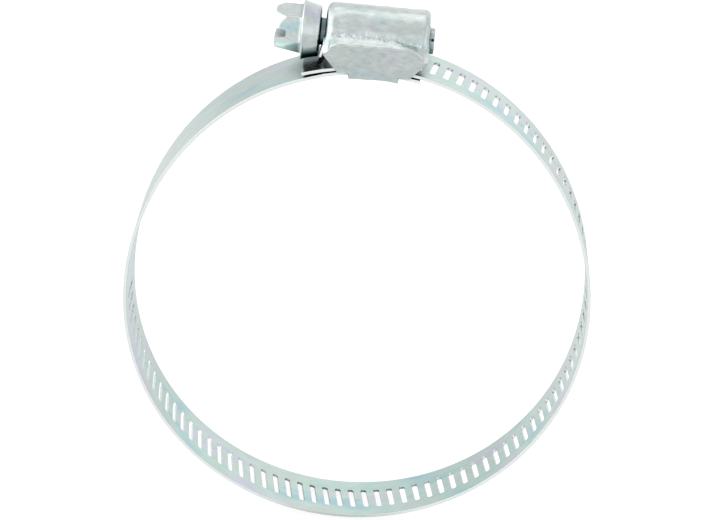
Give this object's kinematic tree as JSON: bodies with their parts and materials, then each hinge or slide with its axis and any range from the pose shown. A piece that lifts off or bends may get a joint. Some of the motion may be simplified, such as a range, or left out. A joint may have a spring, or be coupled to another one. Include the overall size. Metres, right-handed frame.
{
  "type": "worm-drive hose clamp",
  "caption": "Worm-drive hose clamp: a round slotted steel band that a hex-head screw in a stamped housing pulls tight around a hose.",
  "frame": {"origin": "middle of the anchored band end's inner face, under the housing, where the clamp first touches the hose", "axes": "+X along the screw from its head towards its tip, +Y along the hose, +Z from the ring's centre up through the housing"},
  "size_m": [0.0877, 0.0148, 0.1031],
  "materials": {
    "band_steel": "bright rolled strip, faint blue-green zinc tint, glossy",
    "housing_steel": "zinc plated pressing, satin with bright cut edges",
    "screw_steel": "zinc plated, satin"
  },
  "bodies": {
    "housing": {"housing": "housing_steel", "band_anchored_end": "band_steel"},
    "screw": {"worm_screw": "screw_steel"},
    "section_01": {"band_section_01": "band_steel"},
    "section_02": {"band_section_02": "band_steel"},
    "section_03": {"band_section_03": "band_steel"},
    "section_04": {"band_section_04": "band_steel"},
    "section_05": {"band_section_05": "band_steel"},
    "section_06": {"band_section_06": "band_steel"},
    "section_07": {"band_section_07": "band_steel"},
    "section_08": {"band_section_08": "band_steel"},
    "section_09": {"band_section_09": "band_steel"},
    "tail": {"band_tail": "band_steel"}
  },
  "joints": [
    {"name": "screw_turn", "type": "hinge", "parent": "housing", "child": "screw", "pos_m": [0, 0, 0.0052], "axis": [1, 0, 0], "range_deg": [-360, 2160]},
    {"name": "band_bend_01", "type": "hinge", "parent": "housing", "child": "section_01", "pos_m": [-0.01319, 0, -0.00216], "axis": [0, -1, 0], "range_deg": [-0.49, 2.92]},
    {"name": "band_bend_02", "type": "hinge", "parent": "section_01", "child": "section_02", "pos_m": [-0.03636, 0, -0.02165], "axis": [0, -1, 0], "range_deg": [-0.46, 2.75]},
    {"name": "band_bend_03", "type": "hinge", "parent": "section_02", "child": "section_03", "pos_m": [-0.04316, 0, -0.0513], "axis": [0, -1, 0], "range_deg": [-0.4, 2.4]},
    {"name": "band_bend_04", "type": "hinge", "parent": "section_03", "child": "section_04", "pos_m": [-0.03087, 0, -0.07899], "axis": [0, -1, 0], "range_deg": [-0.35, 2.07]},
    {"name": "band_bend_05", "type": "hinge", "parent": "section_04", "child": "section_05", "pos_m": [-0.00357, 0, -0.09198], "axis": [0, -1, 0], "range_deg": [-0.32, 1.89]},
    {"name": "band_bend_06", "type": "hinge", "parent": "section_05", "child": "section_06", "pos_m": [0.02553, 0, -0.08375], "axis": [0, -1, 0], "range_deg": [-0.33, 1.94]},
    {"name": "band_bend_07", "type": "hinge", "parent": "section_06", "child": "section_07", "pos_m": [0.04234, 0, -0.05855], "axis": [0, -1, 0], "range_deg": [-0.37, 2.2]},
    {"name": "band_bend_08", "type": "hinge", "parent": "section_07", "child": "section_08", "pos_m": [0.04044, 0, -0.02819], "axis": [0, -1, 0], "range_deg": [-0.43, 2.56]},
    {"name": "band_bend_09", "type": "hinge", "parent": "section_08", "child": "section_09", "pos_m": [0.02115, 0, -0.00477], "axis": [0, -1, 0], "range_deg": [-0.47, 2.84]},
    {"name": "tail_bend", "type": "hinge", "parent": "section_09", "child": "tail", "pos_m": [-0.0086, 0, 0.00023], "axis": [0, -1, 0], "range_deg": [-0.49, 2.93]}
  ],
  "couplings": [
    {"joint": "band_bend_01", "follows": "screw_turn", "ratio": 0.001353},
    {"joint": "band_bend_02", "follows": "screw_turn", "ratio": 0.0012713},
    {"joint": "band_bend_03", "follows": "screw_turn", "ratio": 0.001112},
    {"joint": "band_bend_04", "follows": "screw_turn", "ratio": 0.00095651},
    {"joint": "band_bend_05", "follows": "screw_turn", "ratio": 0.0008752},
    {"joint": "band_bend_06", "follows": "screw_turn", "ratio": 0.00089816},
    {"joint": "band_bend_07", "follows": "screw_turn", "ratio": 0.0010185},
    {"joint": "band_bend_08", "follows": "screw_turn", "ratio": 0.0011856},
    {"joint": "band_bend_09", "follows": "screw_turn", "ratio": 0.0013159},
    {"joint": "tail_bend", "follows": "screw_turn", "ratio": 0.0013562}
  ]
}
